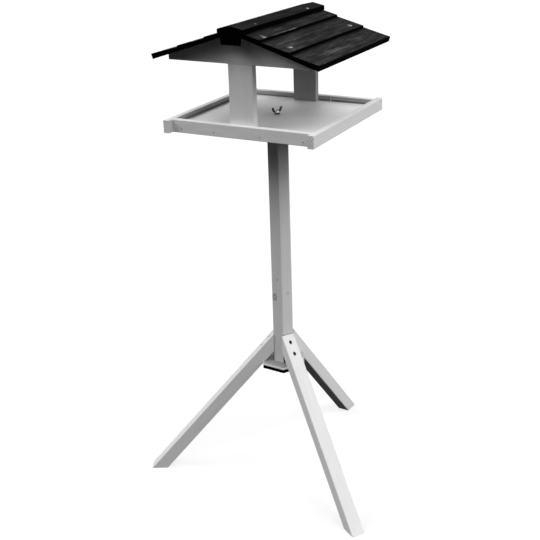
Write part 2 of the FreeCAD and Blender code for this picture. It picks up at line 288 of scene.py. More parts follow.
def knots_and_bend(steps, board, across, along):
    """How dark the knots make a place, and how far they push the rings aside there."""
    knot = 0.0
    bend = 0.0
    for knot_across, knot_along, radius, strength in board.knots:
        beside = steps.math("SUBTRACT", across, knot_across)
        ahead = steps.times(steps.math("SUBTRACT", along, knot_along), knot_slimness)
        away = steps.length(steps.combine(beside, ahead, 0.0))
        reach = steps.math("POWER", steps.times(away, knot_hold / radius), 2.0)
        swell = steps.math("EXPONENT", steps.times(reach, -1.0))
        bend = steps.total(steps.times(swell, knot_push * radius), bend)
        inside, outward = (steps.rise(away, start * radius, end * radius)
                           for start, end in (knot_edge, knot_rim))
        rim = steps.math("MULTIPLY_ADD", outward, 1.0 - knot_heart, knot_heart)
        knot = steps.math("MAXIMUM", steps.times(inside, rim, strength), knot)
    return knot, bend


def late_wood(steps, pith_distance, bend):
    """The dark part of each growth ring, from 0 to 1."""
    ring_place = steps.math("FRACT", steps.times(
        steps.math("SUBTRACT", pith_distance, bend), 1.0 / ring_spacing))
    return steps.math("SUBTRACT", steps.rise(ring_place, *ring_darkens),
                      steps.rise(ring_place, *ring_ends))


def wood_pattern(steps, board):
    """Growth rings round a pith, fibres, slow changes of tone, knots and end grain."""
    chance = random.Random(board.seed)
    pith_across, pith_through = board.special.get(
        "pith", (chance.uniform(-25, 25), -chance.uniform(28, 60)))
    place = steps.add("TexCoord").outputs["Object"]
    from_origin = steps.add("VectorMath", {0: place, 1: board.origin},
                            operation="SUBTRACT").outputs[0]
    across, through, along = (steps.dot(from_origin, direction * 1000)
                              for direction in (board.across, board.out, board.along))
    shifted = steps.math("ADD", along, board_shift * board.seed)

    def grain(name, detail, roughness=0.5, beside=across):
        fine, coarse = grain_scales[name]
        stretched = steps.combine(steps.times(beside, fine), steps.times(through, fine),
                                  steps.times(shifted, coarse))
        return steps.noise(stretched, 1.0, detail, roughness)

    wobble = steps.add("SeparateColor", {0: grain("wobble", 2.0)["Color"]})
    wander = [steps.math("MULTIPLY_ADD", part, ring_wander, -ring_wander / 2)
              for part in wobble.outputs[:2]]
    knot, bend = knots_and_bend(steps, board, across, along)
    radial = steps.combine(
        steps.total(across, -pith_across, wander[0]),
        steps.total(through, -pith_through, wander[1]), 0.0)
    late = late_wood(steps, steps.length(radial), bend)
    fibre = grain("fibre", 3.0, 0.6)["Fac"]
    drift = grain("drift", 2.0, 0.6)["Fac"]
    wavy = steps.total(across, steps.times(drift, board.special.get("wander", streak_wander)))
    fine = grain("fine", 2.0, 0.55, wavy)["Fac"]
    streak = grain("streak", 2.0, 0.55, wavy)["Fac"]
    cloud = grain("cloud", 2.0)["Fac"]
    normal = steps.add("NewGeometry").outputs["Normal"]
    facing = steps.dot(normal, board.along)
    end = steps.rise(steps.math("ABSOLUTE", facing), *end_facing)
    outward = steps.dot(normal, board.out)
    return {"across": across, "through": through, "along": along, "late": late,
            "fibre": fibre, "fine": fine, "streak": streak, "cloud": cloud, "knot": knot,
            "end": end, "outward": outward, "place": place}


def away_from(steps, value, middle):
    return steps.math("ABSOLUTE", steps.math("SUBTRACT", value, middle))


def distance_beside(steps, wood, level):
    """How far a place is beside a level line through the post's axis."""
    return steps.dot(wood["place"], Vector((-level.y, level.x, 0.0)) * 1000)


def inner_face_shade(steps, wood, height):
    """Painted shade on the side of a batten that looks into the tray, most of it low down."""
    inside = steps.times(
        steps.rise(wood["through"], 1.0 - half_batten, -half_batten),
        steps.rise(away_from(steps, wood["along"], 0.0), tray_half + 2.0, tray_half - 2.0))
    low = steps.rise(height, floor_top + 9.0, floor_top)
    return steps.times(inside, steps.total(steps.times(wood["streak"], 0.4),
                                           steps.times(low, 0.35), 0.24))


def shade_with_light_lines(steps, wood, height, darkening, place):
    """The same painted shade, left out along a light line across the batten and a level light
    line from it.
    """
    cross_light_line = steps.rise(away_from(steps, wood["along"], place), 2.0, 1.0)
    level_light_line = steps.rise(away_from(steps, height, floor_top + 8.0), 2.2, 0.8)
    beyond = steps.rise(wood["along"], place, place + 4.0)
    light = steps.math("MAXIMUM", cross_light_line, steps.times(level_light_line, beyond, 0.55))
    return steps.times(darkening, steps.math("SUBTRACT", 1.0, light))


def joint_line(steps, wood, height, level):
    """The dark line over a leg, on the face of the post that the leg meets."""
    aside = distance_beside(steps, wood, level)
    reach = steps.dot(wood["place"], level * 1000)
    on_face = steps.rise(reach, post_apothem - 0.8, post_apothem - 0.2)
    line = steps.rise(away_from(steps, height, leg_join_height + 1.4), 2.2, 0.9)
    deep = steps.math("MULTIPLY_ADD", steps.rise(aside, *joint_line_fade), 0.5, 0.5)
    return steps.times(on_face, line, deep)


def painted_shade_and_joints(steps, wood, board):
    """How far painted shade and shadow, and the dark joint lines, darken the paint, from 0 to 1.
    """
    special = board.special
    point = steps.add("SeparateXYZ", {0: wood["place"]}).outputs
    height = steps.times(point[2], 1000.0)
    darkening = 0.0
    if "inner_face" in special:
        darkening = inner_face_shade(steps, wood, height)
    if "light_lines_at" in special:
        darkening = shade_with_light_lines(steps, wood, height, darkening, special["light_lines_at"])
    for level in special.get("joints", ()):
        darkening = steps.math("MAXIMUM", darkening, joint_line(steps, wood, height, level))
    # painted shade in the leg's screw recesses
    if "leg_direction" in special:
        aside = distance_beside(steps, wood, special["leg_direction"])
        for screw_height in leg_screw_heights:
            above = steps.math("SUBTRACT", height, screw_height)
            away = steps.length(steps.combine(aside, above, 0.0))
            hole = steps.rise(away, leg_screw_recess_radius + 0.35,
                              leg_screw_recess_radius - 0.05)
            darkening = steps.math("MAXIMUM", darkening, steps.times(hole, special["recess_shade"]))
    # a painted shadow round the washer and under it
    if "washer_shadow" in special:
        away = steps.length(steps.combine(wood["across"], wood["along"], 0.0))
        ring = steps.math("SUBTRACT", 1.0, steps.rise(away, washer_rim + 0.6, washer_rim + 2.4))
        darkening = steps.times(ring, special["washer_shadow"])
    # painted shade low on the post's faces beside the legs
    if "foot_shade_from" in special:
        foot = steps.rise(height, special["foot_shade_from"], special["foot_shade_from"] - 12.0)
        aside = steps.rise(wood["outward"], 0.8, 0.7)
        darkening = steps.math("MAXIMUM", darkening, steps.times(foot, aside))
    return darkening


def weighed(steps, wood, weights):
    """Parts of the pattern, each times its weight."""
    return [steps.times(wood[part], weight) for part, weight in weights.items()]


def laid_on(steps, wood, colour, relief, roughness, gloss):
    """The finished material: the fibres roughen it and parts of the pattern raise it."""
    least, added = roughness
    rough = steps.math("MULTIPLY_ADD", wood["fibre"], added, least)
    steps.fill(steps.shader, {"Base Color": colour, "Roughness": rough,
                              "Specular IOR Level": gloss})
    steps.bump(steps.total(*weighed(steps, wood, relief)))
    return steps.owner


def paint_with_painted_light(steps, wood, board):
    """The tone of the paint, which on some tops runs from painted shade to painted light."""
    bright = grey(board.special.get("tone", paint_tone))
    if "top" in board.special:
        shaded_tone, lit_tone, way, start, end = board.special["top"]
        towards = steps.dot(wood["place"], Vector(way) * 1000)
        top = steps.blend(steps.rise(towards, start, end), grey(shaded_tone), grey(lit_tone))
        bright = steps.blend(steps.rise(wood["outward"], *painted_top_facing), bright, top)
    return bright


def painted_end(steps, wood, board):
    """End grain, whose rings show dark through the paint."""
    rings = steps.total(*weighed(steps, wood, end_figure), -end_figure_level)
    rings = steps.times(steps.math("MAXIMUM", rings, 0.0), board.special.get("end_rings", 1.0))
    return steps.blend(rings, grey(paint_tone), grey(end_tone))


def painted_wood(name, board):
    """White satin paint through which rings, fibres and knots show faintly."""
    steps = Steps(bpy.data.materials.new(name))
    wood = wood_pattern(steps, board)
    figure = steps.total(*weighed(steps, wood, paint_figure), -paint_figure_level)
    shade = steps.total(steps.times(figure, board.special.get("figure", 1.0)), 0.12,
                        steps.times(wood["knot"], knot_in_paint))
    bright = paint_with_painted_light(steps, wood, board)
    side = steps.blend(steps.times(shade, paint_shading), bright, grey(0.0))
    gloss = paint_gloss
    # painted shade on the undersides, which also lose their gloss
    if "under" in board.special:
        below = steps.rise(wood["outward"], *underside_facing)
        side = steps.blend(below, side, grey(board.special["under"]))
        gloss = steps.math("MULTIPLY_ADD", below, -gloss, gloss)
    colour = steps.blend(wood["end"], side, painted_end(steps, wood, board))
    # painted shade and shadow, and the dark joint lines
    colour = steps.blend(painted_shade_and_joints(steps, wood, board), colour, grey(shade_and_joint_tone))
    return laid_on(steps, wood, colour, paint_relief, paint_roughness, gloss)


def wear_and_highlights(steps, wood, patches):
    """Where the stain is rubbed off, and the painted highlights, broken up by the grain."""
    wear_and_highlight = 0.0
    for at_along, at_across, half_length, half_width, lean, strength in patches:
        ahead = steps.math("SUBTRACT", wood["along"], at_along)
        beside = steps.total(wood["across"], -at_across, steps.times(ahead, -lean))
        ahead = steps.times(ahead, 1.0 / half_length)
        beside = steps.times(beside, 1.0 / half_width)
        away = steps.total(steps.times(ahead, ahead), steps.times(beside, beside))
        patch = steps.math("EXPONENT", steps.times(away, -1.0))
        wear_and_highlight = steps.total(wear_and_highlight, steps.times(patch, strength))
    broken = steps.math("MULTIPLY_ADD", steps.rise(wood["fine"], 0.34, 0.62), 0.9, 0.35)
    return steps.times(wear_and_highlight, broken)


def stained_wood(name, board):
    """Black stain: streaky grey weathering on top, pale wear in places, painted highlights and
    shade.
    """
    steps = Steps(bpy.data.materials.new(name))
    wood = wood_pattern(steps, board)
    wood["early"] = steps.math("SUBTRACT", 1.0, wood["late"])
    top = steps.rise(wood["outward"], *stained_top_facing)
    smoke = steps.total(*weighed(steps, wood, stain_figure))
    smoke = steps.math("SUBTRACT", smoke, stain_figure_level)
    weathered = steps.times(smoke, smoke, board.special.get("weather", roof_weather))
    wear_and_highlight = wear_and_highlights(steps, wood, board.special.get("patches", ()))
    # the grey fades out beside the board above and at the board's own lower edge: less
    # weathering, and painted shade
    if "laps" in board.special:
        upper, lower = board.special["laps"]
        weathered = steps.times(weathered, steps.rise(wood["across"], upper, upper + lap_shelter_and_shade),
                                steps.rise(wood["across"], lower, lower - lap_edge))
    wear_and_highlight = steps.math("SUBTRACT", wear_and_highlight, steps.times(wood["knot"], knot_in_stain), clamp=True)
    aged = steps.blend(weathered, grey(stain_tone), grey(stain_weathered))
    aged = steps.blend(wear_and_highlight, aged, grey(stain_wear_and_highlight))
    colour = steps.blend(top, grey(stain_tone), aged)
    return laid_on(steps, wood, colour, stain_relief, stain_roughness, stain_gloss)


def metal(name, tone, roughness, spots, hub_highlight_tone=None):
    """Plated steel with fine brushing, dull patches and, on the nut, a painted highlight round
    its hub.
    """
    steps = Steps(bpy.data.materials.new(name))
    place = steps.add("TexCoord").outputs["Object"]
    fine = steps.noise(place, brushing_scale, 2.0)["Fac"]
    dull = steps.noise(place, patch_scale, 3.0)["Fac"]
    patch = steps.times(steps.rise(dull, *patch_edge), spots)
    colour = steps.blend(patch, grey(tone), grey(tone * patch_darkness))
    if hub_highlight_tone:
        x, y, z = steps.add("SeparateXYZ", {0: place}).outputs
        away = steps.length(steps.combine(x, y, 0.0))
        beside, below = hub_band_blur
        hub_highlight = steps.times(
            steps.rise(away, hub_band_radius + beside, hub_band_radius - beside),
            steps.rise(z, hub_band_height - below, hub_band_height + below))
        colour = steps.blend(hub_highlight, colour, grey(hub_highlight_tone))
    rough = steps.total(steps.times(fine, brushing_roughness),
                        steps.times(patch, patch_roughness),
                        roughness - brushing_roughness / 2)
    steps.fill(steps.shader, {"Base Color": colour, "Roughness": rough, "Metallic": 1.0})
    steps.bump(steps.times(fine, brushing_relief))
    return steps.owner


# Meshes, as lists of points and of faces

def lathe(profile, segments=head_sides):
    """A closed turned form: radius and height pairs, top first, round the Z axis."""
    points = []
    faces = []
    for radius, height in profile:
        for number in range(segments):
            angle = 2 * math.pi * number / segments
            points.append((radius * math.cos(angle), radius * math.sin(angle), height))
    for ring in range(len(profile) - 1):
        for number in range(segments):
            following = (number + 1) % segments
            first = ring * segments
            second = first + segments
            faces.append((first + number, second + number, second + following,
                          first + following))
    return points, faces


def capped(form, segments=head_sides):
    """The same turned form with flat ends."""
    points, faces = form
    last = len(points) - segments
    ends = [tuple(range(segments)), tuple(range(len(points) - 1, last - 1, -1))]
    return points, faces + ends


def cross_recess(radius, reach, half_width, depth):
    """A flat ring with the tapering cross of a screwdriver sunk in it."""
    ring = head_sides
    cross = 12
    points = []
    for number in range(ring):
        angle = math.radians(360 // ring * number - 45)
        points.append((radius * math.cos(angle), radius * math.sin(angle), 0.0))
    for level, scale in ((0.0, 1.0), (-depth, cross_taper)):
        for quarter in range(4):
            turn = Matrix.Rotation(math.pi / 2 * quarter, 2)
            for corner in ((reach, -half_width), (reach, half_width),
                           (half_width, half_width)):
                x, y = turn @ Vector(corner) * scale
                points.append((x, y, level))
    faces = []
    for quarter in range(4):
        rim = [(6 * quarter + step) % ring for step in range(7)]
        first, second, corner = (ring + 3 * quarter + step for step in range(3))
        before = ring + (3 * quarter + 11) % cross
        faces.append((before, rim[0], rim[1], rim[2], first))
        faces.append((first, rim[2], rim[3], rim[4], second))
        faces.append((second, rim[4], rim[5], rim[6], corner))
    for number in range(cross):
        following = (number + 1) % cross
        faces.append((ring + number, ring + following, ring + cross + following,
                      ring + cross + number))
    faces.append(tuple(range(ring + cross, ring + 2 * cross)))
    return points, faces


def joined(forms):
    """Several forms as one list of points and one of faces."""
    points = []
    faces = []
    for more_points, more_faces in forms:
        start = len(points)
        points += [tuple(point) for point in more_points]
        faces += [tuple(start + number for number in face) for face in more_faces]
    return points, faces


def placed(form, matrix):
    points, faces = form
    return [matrix @ Vector(point) for point in points], faces


def mesh_of(name, form):
    mesh = bpy.data.meshes.new(name)
    points, faces = form
    mesh.from_pydata([tuple(point) for point in points], [], faces)
    return mesh


def linked(name, data):
    """A new object in the scene."""
    thing = bpy.data.objects.new(name, data)
    bpy.context.scene.collection.objects.link(thing)
    return thing


def dressed(mesh, finish, body, node, sharp=None):
    """An object of a mesh, of the same name, riding on a body in place of a CAD node."""
    material, slot = finish
    mesh.polygons.foreach_set("use_smooth", [True] * len(mesh.polygons))
    if sharp:
        mesh.set_sharp_from_angle(angle=math.radians(sharp))
    mesh.materials.clear()
    mesh.materials.append(material)
    piece = linked(mesh.name, mesh)
    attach(piece, body)
    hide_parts(node)


def shown(name, form, finish, body, node, sharp=35.0):
    mesh = mesh_of(name, form)
    mesh.validate()
    dressed(mesh, finish, body, node, sharp)


# Fasteners

def solids_of(node):
    """The corners of each separate solid of a CAD node, in a fixed order."""
    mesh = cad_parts[node].data
    corners = np.array([vertex.co for vertex in mesh.vertices])
    keys = [tuple(np.round(corner * 1e6).astype(int)) for corner in corners]
    leader = {key: key for key in keys}

    def lead(key):
        while leader[key] != key:
            leader[key] = leader[leader[key]]
            key = leader[key]
        return key

    for polygon in mesh.polygons:
        first = lead(keys[polygon.vertices[0]])
        for number in polygon.vertices[1:]:
            leader[lead(keys[number])] = first
    groups = {}
    for key in sorted(leader):
        groups.setdefault(lead(key), []).append(key)
    return [np.array(group) / 1e6 for group in groups.values()]


def head_of(corners):
    """The middle of the top of a fastener's head, the way it looks, and its length."""
    centre = corners.mean(0)
    axis = np.linalg.svd(corners - centre)[2][0]
    along = (corners - centre) @ axis
    width = np.linalg.norm(corners - centre - np.outer(along, axis), axis=1)
    middle = (along.max() + along.min()) / 2
    if width[along > middle].max() < width[along < middle].max():
        axis, along = -axis, -along
    top = centre + axis * along.max()
    return Vector(top), Vector(axis), along.max() - along.min()


def bare(top):
    """The nails of the middle boards have lost their stain."""
    nearest, farthest = bare_nail_reach
    return nearest < math.hypot(top.x, roof_apex - top.z) < farthest


def stained(top):
    return not bare(top)


def at_front(top):
    return top.y < 0


def at_back(top):
    return top.y > 0


def fasteners(node, maker, seed, chosen=None):
    """The fasteners of a node, each turned by chance about its own axis."""
    chance = random.Random(seed)
    forms = []
    for corners in solids_of(node):
        top, axis, length = head_of(corners)
        if chosen and not chosen(top):
            continue
        turn = Vector((0, 0, 1)).rotation_difference(axis).to_matrix().to_4x4()
        spin = Matrix.Rotation(chance.uniform(0, math.pi), 4, "Z")
        forms.append(placed(maker(length), Matrix.Translation(top) @ turn @ spin))
    return joined(forms)


def nail(head, seat, length):
    """A nail's head, as radius and height pairs, over its shank and its point."""
    return capped(lathe(head + [(nail_shank_radius, seat),
                                (nail_shank_radius, nail_point_length - length),
                                (nail_point_radius, -length)]))


def screw(cross, head, shank, seat, length):
    """A screw's cross and the side of its head, over its shank and its point."""
    body = lathe(head + [(shank, seat), (shank, screw_point_length - length),
                         (screw_point_radius, -length)])
    return joined([cross, body])


def roof_nail(length):
    """A wire nail with a low round head, a little worn on top."""
    radius = nail_head_radius
    rise = nail_head_rise
    seat = -nail_head_thickness
    return nail([(radius * 0.35, rise), (radius * 0.75, rise * 0.8),
                 (radius * 0.96, rise * 0.25), (radius, -rise * 0.6), (radius * 0.94, seat)],
                seat, length)


def punched_nail(length):
    """A small-headed nail, driven a little below the face of the batten."""
    top = -punched_nail_depth
    radius = punched_nail_radius
    seat = top - punched_head_thickness
    return nail([(radius * 0.5, top - 0.0002), (radius * 0.9, top), (radius, top - 0.0003),
                 (radius, seat)], seat, length)


def sunk_screw(length):
    """A cross-head wood screw with its flat head flush in the wood."""
    radius = sunk_screw_radius
    cross = cross_recess(radius * 0.94, radius * 0.58, radius * 0.14, sunk_screw_cross_depth)
    return screw(cross, [(radius * 0.94, 0.0), (radius, -0.0002)], sunk_screw_shank_radius,
                 -sunk_screw_head_depth, length)


def leg_screw(length):
    """A cross-head screw with a round head that seats at the bottom of a recess."""
    radius = leg_screw_radius
    seat = -leg_screw_head_depth
    cross = cross_recess(radius * 0.72, radius * 0.52, radius * 0.13, leg_screw_cross_depth)
    return screw(cross, [(radius * 0.72, 0.0), (radius * 0.9, -0.0005), (radius, -0.0014),
                         (radius, seat)], leg_screw_shank_radius, seat, length)


# Slot, tone, roughness and dull patches of each metal, and the tone of the painted highlight on
# the nut's hub
metals = {"cast_nut": ("clamp_steel", 0.07, 0.20, 0.6, 0.55),
          "plated_washer": ("clamp_steel", 0.10, 0.30, 0.3),
          "stud_thread": ("clamp_steel", 0.04, 0.4, 0.4),
          "galvanised_nail": ("nail_steel", 0.60, 0.5, 0.35),
          "dark_zinc": ("screw_dark", 0.05, 0.4, 0.5),
          "dull_nail": ("nail_steel", 0.08, 0.55, 0.6),
          "stained_nail": ("board_black", 0.02, 0.6, 0.3),
          "dull_cap_screw": ("screw_dark", 0.10, 0.5, 0.5),
          "bright_cap_screw": ("screw_dark", 0.42, 0.4, 0.3)}

# The pieces that stand for fasteners: their node, how one is made, the seed of their
# turns, which of the node's fasteners they are, their metal and body
fastener_pieces = {
    "bare_roof_nails": ("roof_nails", roof_nail, 1, bare, "galvanised_nail", "house"),
    "stained_roof_nails": ("roof_nails", roof_nail, 8, stained, "stained_nail", "house"),
    "batten_nail_heads": ("batten_nails", punched_nail, 2, None, "dull_nail", "house"),
    "front_cap_screws": ("cap_screws", sunk_screw, 3, at_front, "dull_cap_screw", "house"),
    "back_cap_screws": ("cap_screws", sunk_screw, 9, at_back, "bright_cap_screw", "house"),
    "gable_screw_heads": ("gable_screws", sunk_screw, 4, None, "dark_zinc", "house"),
    "floor_screw_heads": ("floor_screws", sunk_screw, 5, None, "dark_zinc", "house"),
    "leg_screw_heads": ("leg_screws", leg_screw, 6, None, "dark_zinc", "stand"),
    "base_screw_head": ("base_screw", sunk_screw, 7, None, "dark_zinc", "stand")}


# The stud, the washer and the wing nut

def make_stud(finish):
    """A threaded rod: one helical ridge along its whole length and a small end chamfer."""
    low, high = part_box("stud")
    rows = int((high.z - low.z) / thread_pitch * thread_rows)
    points = []
    faces = []
    for row in range(rows + 1):
        height = low.z + (high.z - low.z) * row / rows
        for number in range(thread_sides):
            turn = number / thread_sides
            phase = (height / thread_pitch - turn) % 1.0
            groove = abs(2 * phase - 1) * thread_depth
            chamfer = max(0.0, stud_chamfer - (high.z - height))
            radius = stud_radius - max(groove, chamfer)
            angle = 2 * math.pi * turn
            points.append((radius * math.cos(angle), radius * math.sin(angle), height))
    for row in range(rows):
        for number in range(thread_sides):
            following = (number + 1) % thread_sides
            first = row * thread_sides
            faces.append((first + number, first + following,
                          first + thread_sides + following, first + thread_sides + number))
    faces.append(tuple(range(thread_sides - 1, -1, -1)))
    faces.append(tuple(range(rows * thread_sides, (rows + 1) * thread_sides)))
    shown("threaded_stud", (points, faces), finish, "stand", "stud", thread_sharp_angle)


def make_washer(finish):
    """A flat stamped ring with softened rims."""
    low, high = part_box("washer")
    outer = (high.x - low.x) / 2
    inner = stud_radius + washer_clearance
    soft = washer_softness
    profile = [(inner, low.z), (inner, high.z - soft), (inner + soft, high.z),
               (outer - soft, high.z), (outer, high.z - soft), (outer, low.z + soft),
               (outer - soft, low.z), (inner, low.z)]
    shown("flat_washer", lathe(profile, washer_sides), finish, "washer", "washer")


def arc(start, middle, end, count):
    """Points on the circle through three points, from the first to the last."""
    (ax, ay), (bx, by), (cx, cy) = start, middle, end
    d = 2 * (ax * (by - cy) + bx * (cy - ay) + cx * (ay - by))
    a2, b2, c2 = ax * ax + ay * ay, bx * bx + by * by, cx * cx + cy * cy
    ox = (a2 * (by - cy) + b2 * (cy - ay) + c2 * (ay - by)) / d
    oy = (a2 * (cx - bx) + b2 * (ax - cx) + c2 * (bx - ax)) / d
    radius = math.hypot(ax - ox, ay - oy)
    first = math.atan2(ay - oy, ax - ox)
    turns = []
    for x, y in (middle, end):
        turns.append((math.atan2(y - oy, x - ox) - first) % (2 * math.pi))
    sweep = turns[1] if turns[0] < turns[1] else turns[1] - 2 * math.pi
    return [(ox + radius * math.cos(first + sweep * step / count),
             oy + radius * math.sin(first + sweep * step / count))
            for step in range(count)]


def wing_outline():
    """The outline of a wing in X and Z, from its foot at the hub round its tip and back."""
    half = wing_span / 2
    tip = wing_tip_radius
    root = nut_neck_radius - wing_root_depth
    middle = (half - tip, wing_top - tip)
    bend = tip * math.sqrt(0.5)
    lower = (root, wing_foot)
    outer = (middle[0] + tip, middle[1])
    crown = (middle[0], wing_top)
    inner = (middle[0] - tip, middle[1])
    saddle = (root, nut_height - wing_saddle_drop)
    belly = (half - wing_belly_inset, nut_height - wing_belly_drop)
    dip = (nut_base_radius, nut_height + wing_dip_rise)
    outline = arc(lower, belly, outer, long_arc_steps)
    outline += arc(outer, (middle[0] + bend, middle[1] + bend), crown, tip_arc_steps)
    outline += arc(crown, (middle[0] - bend, middle[1] + bend), inner, tip_arc_steps)
    outline += arc(inner, dip, saddle, long_arc_steps)
    outline.append(saddle)
    return outline, root, half


def wing_form():
    """One wing, rising to +X: a flat outline with round ends, thinner at its tip."""
    outline, root, half = wing_outline()
    count = len(outline)
    points = []
    for side in (-1, 1):
        for x, z in outline:
            thinner = wing_thinning * max(0.0, (x - root) / (half - root))
            points.append((x, side * (wing_thickness - thinner) / 2, z))
    faces = [tuple(range(count)), tuple(range(2 * count - 1, count - 1, -1))]
    for number in range(count):
        following = (number + 1) % count
        faces.append((following, number, count + number, count + following))
    return points, faces


def turned_hub():
    soft = hub_softness
    return lathe([(nut_bore_radius, 0.0), (nut_bore_radius, nut_height),
                  (nut_neck_radius - soft, nut_height), (nut_neck_radius, nut_height - soft),
                  (nut_base_radius, soft), (nut_base_radius - soft, 0.0),
                  (nut_bore_radius, 0.0)], hub_sides)


def grown_together(form, name):
    """The mesh of a form whose parts are melted into one and eased like a casting."""
    holder = linked("wing_nut_rough", mesh_of("wing_nut_rough", form))
    melt = holder.modifiers.new("melt", "REMESH")
    melt.mode = "VOXEL"
    melt.voxel_size = nut_voxel
    ease = holder.modifiers.new("ease", "SMOOTH")
    ease.factor = nut_easing
    ease.iterations = nut_easing_rounds
    bpy.context.view_layer.update()
    ready = holder.evaluated_get(bpy.context.evaluated_depsgraph_get())
    mesh = bpy.data.meshes.new_from_object(ready)
    mesh.name = name
    bpy.data.objects.remove(holder)
    return mesh


def make_wing_nut(finish):
    """A cast hub with two wings."""
    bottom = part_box("wing_nut")[0].z
    wing = wing_form()
    other = placed(wing, Matrix.Rotation(math.pi, 4, "Z"))
    turn = Matrix.Translation((0, 0, bottom)) @ Matrix.Rotation(wing_lean, 4, "Z")
    mesh = grown_together(placed(joined([turned_hub(), wing, other]), turn), "cast_wing_nut")
    dressed(mesh, finish, "wing_nut", "wing_nut")


# The timber, board by board

# Tops painted darker at one side and lighter at the other, as painted shade and light: shaded
# tone, lit tone, direction of the lit side and the distances from the axis, in millimetres,
# between which it lightens
tray_floor_shade_and_light = (0.73, 0.95, (0, 1, 0), 15.0, 145.0)
base_plate_painted_shade = (0.29, 0.60, (0.82, 0.57, 0), 20.0, 50.0)
# Each leg's angle round the post, its knots and how much painted shade darkens its screw recesses
legs = {"leg_right": (60, [], 1.0),
        "leg_left": (-60, [], 0.2),
        "leg_back": (180, [(5.0, 90.0, 4.0, 0.8)], 0.6)}


def middle_of(node):
    low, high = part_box(node)
    return (low + high) / 2


def turned_about_post(angle):
    """A level direction; 0 looks to -Y, and the stand's own turn is added."""
    whole = angle + stand_turn
    return Vector((math.sin(whole), -math.cos(whole), 0.0))


def stand_boards():
    up = Vector((0, 0, 1))
    front = turned_about_post(0.0)
    boards = {
        # the post's paint is set darker than plain paint, as painted shade
        "post": Board(up, front, (0, 0, 0), seed=1, figure=0.6, tone=0.75, joints=[],
                      foot_shade_from=436.0,
                      knots=[(7.7, 598.6, 7.0, 1.0), (-27.1, 611.5, 3.0, 0.4),
                             (-2.7, 657.0, 2.4, 0.8)]),
        "base_plate": Board(turned_about_post(math.pi / 2), up, middle_of("base_plate"),
                            seed=2, top=base_plate_painted_shade)}
    for name, (degrees, knots, recess_shade) in legs.items():
        level = turned_about_post(math.radians(degrees))
        boards["post"].special["joints"].append(level)
        down = level * math.cos(leg_slope) - up * math.sin(leg_slope)
        out = level * math.sin(leg_slope) + up * math.cos(leg_slope)
        boards[name] = Board(down, out, middle_of(name), knots=knots, seed=3 + len(boards),
                             figure=0.5, leg_direction=level, recess_shade=recess_shade,
                             under=underside_shade_tone)
    return boards


def tray_boards():
    x, y, z = Vector((1, 0, 0)), Vector((0, 1, 0)), Vector((0, 0, 1))
    return {
        "tray_floor": Board(x, z, (0, 0, floor_top / 1000), seed=11, figure=0.7,
                            top=tray_floor_shade_and_light, washer_shadow=0.8),
        "batten_left": Board(y, -x, middle_of("batten_left"), seed=12, inner_face=True,
                             figure=0.6, end_rings=0.3, pith=(30.0, -50.0)),
        "batten_right": Board(y, x, middle_of("batten_right"), seed=13, inner_face=True,
                              figure=0.6, end_rings=0.85, pith=(-45.0, 45.0)),
        "batten_front": Board(x, -y, middle_of("batten_front"), seed=14, inner_face=True),
        "batten_back": Board(x, y, middle_of("batten_back"), seed=15, inner_face=True,
                             light_lines_at=75.8),
        "upright_front": Board(z, -y, middle_of("upright_front"), seed=16, figure=0.5),
        # the back upright and the front gable are set darker than plain paint, as painted shade
        "upright_back": Board(z, -y, middle_of("upright_back"), seed=17, tone=0.44),
        "gable_front": Board(x, -y, middle_of("gable_front"), seed=18, tone=0.72),
        "gable_back": Board(x, y, middle_of("gable_back"), seed=19)}


# Lower edges of the boards, from the apex down the slope, and what each row looks like
board_edges = {"top": 82.0, "middle": 168.4, "bottom": 254.8}
streak_wanders = {"top": 8.0, "middle": 10.0, "bottom": 22.0}
cap_edge_reach = 32.5       # where the cap covers the top boards, along the slope
lap_shelter_and_shade = 19.0          # beside the board above the stain is darker: less weathered there, and painted shade
lap_edge = 7.0              # and so it is at a board's own lower edge

